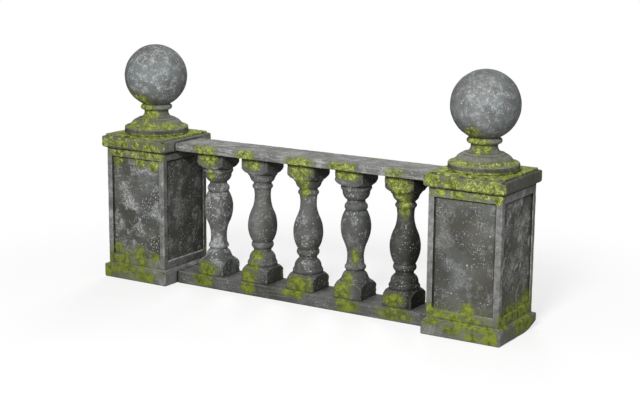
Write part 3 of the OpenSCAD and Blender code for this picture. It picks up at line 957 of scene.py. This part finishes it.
# how much a piece is darkened by its wash, which on the left pier's inner face is painted shade, sponged
# over, and streaked on its sides
washes_and_painted_shade = {
    "left_inner_panel": 0.36, "base_rail": 0.52, "baluster_2": 0.06, "baluster_3": 0.12, "baluster_4": 0.16,
    "baluster_5": 0.67, "other": 0.0,
}
sponging = {
    "left_front_panel": 1.0, "right_front_panel": 0.35, "left_inner_panel": 0.8, "right_outer_panel": 0.55,
    "top_rail": 0.82, "base_rail": 0.4, "baluster_1": 1.9, "baluster_2": 0.45, "baluster_3": 0.8,
    "baluster_4": 0.8, "baluster_5": 0.8, "left_ball": 1.1, "other": 0.7,
}
streaks = {"left_inner_panel": 0.2, "right_outer_panel": 0.8, "other": 0.7}
fields = {"turned": 0.9, "moulding": 0.45, "frame": 0.3}  # how much of the spatter such a face takes
panelFrame = {
    "sill": 35 * mm, "head": 36 * mm, "stile": 25 * mm, "recess": 7 * mm, "lip": 2.5 * mm,
    "lipDepth": 4 * mm, "turn": 3 * mm,  # the width over which paint changes at a corner
    "sillWearAndHighlight": 0.9, "jambWearAndHighlight": 0.6, "capLine": 7 * mm, "capFade": 2 * mm, "capShare": 0.9,
}
# painted shade on the balls, the finials' feet, the right cap's outer side, the balusters' +X sides and the
# far half of the left pier's inner face
shading = {
    "ball": [  # axis and direction, where in the radius the painted shade starts, and how fast it deepens
        (2, -1, 0.25, 0.4), (2, 1, 0.5, 0.6), (0, -1, 0.15, 0.8), (0, 1, 0.6, 0.5)],
    "footBand": 26 * mm, "footFade": 3 * mm, "footShare": 0.72, "capShare": 0.5,
    "balusterShare": 0.62, "balusterSlope": 3, "balusterFrom": 2.1,
    "innerShare": 0.38, "innerFrom": 40 * mm, "innerFade": 60 * mm,
}


def markPaint(obj, node):
    # field is 1 on the panels' recessed fields, and less on turned work, raised frames and mouldings
    points = readPoints(obj.data)
    x, y, z = points.T
    low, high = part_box(node)
    field = np.full(len(points), fields["turned"])
    side = np.zeros(len(points))
    wash_and_painted_shade = np.full(len(points), washes_and_painted_shade.get(node, washes_and_painted_shade["other"]))
    hand = node.split("_")[0]
    if hand in finished:
        frameLow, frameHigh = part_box(hand + "_front_panel")
        centre, half = (frameLow.x + frameHigh.x) / 2, (frameHigh.x - frameLow.x) / 2
        across = abs(x - centre)
        sideways = np.clip((across - abs(y)) / panelFrame["turn"], 0, 1)
    if node.endswith("_panel"):
        depth, inwards = half - np.maximum(across, abs(y)), half - np.minimum(across, abs(y))
        field = np.clip(depth / panelFrame["recess"], fields["frame"], 1)
        side = streaks.get(node, streaks["other"]) * sideways
        # the lip at the foot of a field catches the dry brush and a painted highlight, and on the sides the
        # upright lips do too
        up, top = z - low.z, high.z - low.z - panelFrame["head"]
        sill = (abs(up - panelFrame["sill"]) < panelFrame["lip"]) & (inwards > panelFrame["stile"])
        jambs = (abs(inwards - panelFrame["stile"]) < panelFrame["lip"]) & (side > 0)
        jambs &= (up > panelFrame["sill"]) & (up < top)
        worn = panelFrame["sillWearAndHighlight"] * sill + panelFrame["jambWearAndHighlight"] * jambs
        raiseValues(obj, "wear", worn * (depth < panelFrame["lipDepth"]))
        # painted shadow of the caps' undersides: a black line along the tops of the shafts
        line = np.clip((panelFrame["capLine"] - (high.z - z)) / panelFrame["capFade"], 0, 1)
        raiseValues(obj, "seam", panelFrame["capShare"] * line)
    elif node.endswith("_ball"):
        # painted shade: the wash darkens the ball underneath, on the crown and at both sides
        middle, radius = (low + high) / 2, (high.x - low.x) / 2
        for axis, direction, start, strength in shading["ball"]:
            wash_and_painted_shade += strength * np.clip(direction * (points[:, axis] - middle[axis]) / radius - start, 0, 1)
    elif hand in finished:
        field[:] = fields["moulding"]
    if node.endswith("_foot"):
        # painted shade: the upright edge of the foot is darker than what is over it
        band = np.clip((shading["footBand"] - (z - low.z)) / shading["footFade"], 0, 1)
        wash_and_painted_shade += shading["footShare"] * band
    # painted shade on the right cap's outer side
    if node == "right_cap":
        wash_and_painted_shade += shading["capShare"] * sideways * (x > centre)
    # painted shade on the left pier's inner face, deepening towards the back
    if node == "left_inner_panel":
        wash_and_painted_shade += shading["innerShare"] * np.clip((y + shading["innerFrom"]) / shading["innerFade"], 0, 1)
    if node.startswith("baluster"):
        # painted shade: each baluster darkens over the third of its width towards +X
        along = shading["balusterSlope"] * (x - low.x) / (high.x - low.x)
        wash_and_painted_shade += shading["balusterShare"] * np.clip(along - shading["balusterFrom"], 0, 1)
    sponged = np.full(len(points), sponging.get(node, sponging["other"]))
    for name, values in (("field", field), ("side", side), ("wash_and_painted_shade", wash_and_painted_shade), ("sponged", sponged)):
        noteValues(obj, name, values)


def finishPiece(obj, node):
    obj.data.polygons.foreach_set("use_smooth", [True] * len(obj.data.polygons))
    markPaint(obj, node)
    markMoss(obj)
    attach(obj, "root")
    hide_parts(node)
    return obj


# the wall itself

finished = {"left": [], "right": [], "middle": []}
nowhere = -1.0  # the height of a bed that no face lies on


def addPiece(group, slot, node, obj, topBeds, finish=None, **changes):
    low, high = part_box(node)
    age(obj, materials[finish or slot], low.z, high.z if topBeds else nowhere, **changes)
    finished[group].append(finishPiece(obj, node))


for hand in ("left", "right"):
    plinth, cap, foot, ball = [hand + "_" + part for part in ("plinth", "cap", "finial_foot", "ball")]
    addPiece(hand, "pier_stone", plinth, cutPiece(plinth, cutting["pierCornerRound"]), True)
    for obj, node in shaftPieces(hand):
        finished[hand].append(finishPiece(obj, node))
    addPiece(hand, "cap_stone", cap, cutPiece(cap, cutting["capCornerRound"]), False)
    addPiece(hand, "ball_stone", foot, turnedPiece(foot, materials["cap_stone"]), True, finish="cap_stone")
    addPiece(hand, "ball_stone", ball, ballPiece(ball), False, Chipping=0.0)
    print(hand, "pier made")

for node in ("base_rail", "top_rail"):
    addPiece("middle", "rail_stone", node, cutPiece(node), False)
print("rails made")

for number in balusterMoss:
    node = "baluster_" + str(number)
    low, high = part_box(node)
    cornerRadius = (high.x - low.x) / math.sqrt(2) - lathe["arrisRound"]
    obj = turnedPiece(node, materials["baluster_stone"], cornerRadius)
    addPiece("middle", "baluster_stone", node, obj, True)
print("balusters made")
bpy.data.objects.remove(surroundings)


# moss flock: grains scattered where the moss has taken hold

flock = {
    "Radius": 1.85 * mm, "Density": 21000.0,  # grains to a square metre
    "Smallest": 0.5, "Largest": 1.35, "Flatten": 0.45,
}
flockMargins = {"bare": 0.06, "full": 0.1, "edge": 0.1 * mm}  # how much later than the paint it sets in


def makeFlockTree():
    add, given, close = newGeometryTree("mossGrains", [
        (label, "Float") for label in flock] + [("Seed", "Int")])
    cover = add("GeometryNodeInputNamedAttribute", {"Name": "moss"}, data_type="FLOAT")
    field = mossField(add, add("GeometryNodeInputPosition").outputs[0], cover.outputs[0])
    growth = add("MapRange", {
        0: field, 1: moss["bareBelow"] + flockMargins["bare"], 2: moss["fullAbove"] + flockMargins["full"]})
    density = add("Math", {0: growth, 1: given["Density"]}, operation="MULTIPLY")
    spread = add("GeometryNodeDistributePointsOnFaces", {
        "Mesh": given["Geometry"], "Density": density, "Seed": given["Seed"]})
    # ten triangles to a grain
    grain = add("GeometryNodeMeshUVSphere", {"Segments": 5, "Rings": 2, "Radius": given["Radius"]})
    size = add("FunctionNodeRandomValue", {
        2: given["Smallest"], 3: given["Largest"], "Seed": given["Seed"]}, data_type="FLOAT")
    scale = add("CombineXYZ", {"X": 1.0, "Y": 1.0, "Z": given["Flatten"]})
    scale = add("VectorMath", {0: scale, "Scale": size.outputs[1]}, operation="SCALE")
    grains = add("GeometryNodeInstanceOnPoints", {
        "Points": spread.outputs["Points"], "Instance": grain, "Rotation": spread.outputs["Rotation"],
        "Scale": scale})
    return close(grains)


flockTree = makeFlockTree()

for seed, (group, pieces) in enumerate(finished.items()):
    obj = gather("moss_flock_" + group, [piece.data for piece in pieces])
    runTree(obj, flockTree, dict(flock, Seed=seed, Finish=materials["moss"]))
    low, high = [np.array(corner[:]) for corner in cadBounds]
    writePoints(obj.data, np.clip(
        readPoints(obj.data), low + flockMargins["edge"], high - flockMargins["edge"]))
    obj.data.polygons.foreach_set("use_smooth", [True] * len(obj.data.polygons))
    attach(obj, "root")
    print("moss on", group, len(obj.data.polygons), "faces")

total = sum(sum(len(p.vertices) - 2 for p in o.data.polygons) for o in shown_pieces())
print("triangles in all", total)
